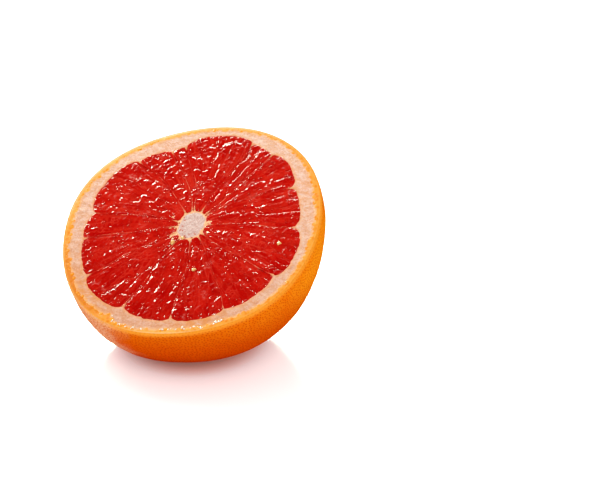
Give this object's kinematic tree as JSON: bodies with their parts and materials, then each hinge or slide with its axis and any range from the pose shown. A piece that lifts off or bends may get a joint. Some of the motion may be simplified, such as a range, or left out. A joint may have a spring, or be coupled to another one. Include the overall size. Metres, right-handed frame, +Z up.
{
  "type": "ruby grapefruit half",
  "caption": "Half of a red-fleshed grapefruit resting on its rind, cut face tipped forward, with pulp lobes, juice sacs, pith ring, spongy core and stem scar.",
  "frame": {"origin": "middle of the footprint box, on the surface that the fruit rests on", "axes": "+Z up from the resting surface; the cut face leans 27 degrees towards -Y; +X runs left to right across the cut face, level"},
  "size_m": [0.1094, 0.106, 0.0779],
  "materials": {
    "rind": "orange peel with oil pores, satin sheen, redder towards the floor",
    "pith": "soft matt pinkish cream, yellower against the peel",
    "pulp": "wet, slightly see-through deep red juice sacs with sharp small highlights",
    "membrane": "thin moist skins between the pulp lobes",
    "core": "spongy off-white",
    "seed": "pale stunted seeds",
    "stem_scar": "dry brown corky scar"
  },
  "bodies": {
    "root": {"grapefruit_half": "rind"}
  },
  "joints": []
}
